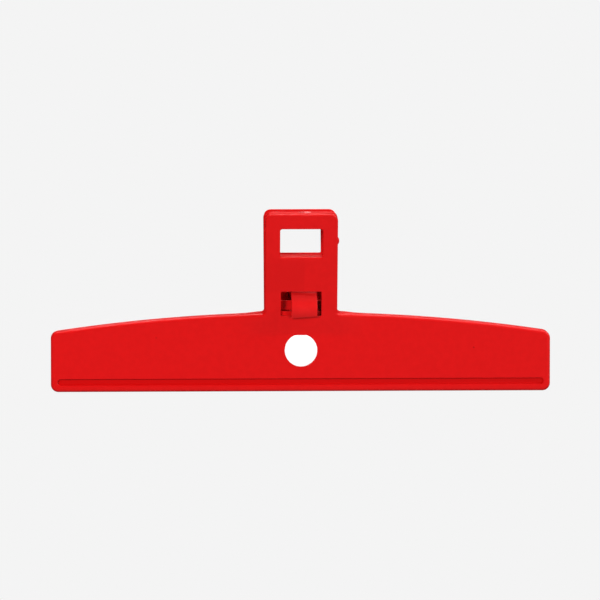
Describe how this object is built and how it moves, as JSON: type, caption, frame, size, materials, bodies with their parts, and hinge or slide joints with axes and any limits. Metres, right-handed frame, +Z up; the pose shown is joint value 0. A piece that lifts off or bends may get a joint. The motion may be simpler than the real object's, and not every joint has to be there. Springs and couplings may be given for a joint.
{
  "type": "bag clip",
  "caption": "Wide red plastic bag clip: T-shaped halves that rock on a pivot bar, squeeze handles with a hanging hole, and a C-shaped spring band through their windows.",
  "frame": {"origin": "middle of the closed lip, on the plane that the lip touches", "axes": "+X along the jaw, +Y from the front half to the rear half, +Z up from the lip to the handles"},
  "size_m": [0.254, 0.0336, 0.092],
  "materials": {
    "front_plastic": "satin",
    "rear_plastic": "satin",
    "band_plastic": "satin",
    "white_print": "matte"
  },
  "bodies": {
    "front": {"front_half": "front_plastic", "spring_band": "band_plastic"},
    "rear": {"rear_half": "rear_plastic"}
  },
  "joints": [
    {"name": "squeeze_pivot", "type": "hinge", "parent": "front", "child": "rear", "pos_m": [0, 0, 0.0438], "axis": [1, 0, 0], "range_deg": [0, 21.5], "stiffness_Nm_per_rad": 1.1, "springref_deg": -18.33, "deforming": ["spring_band"]}
  ]
}
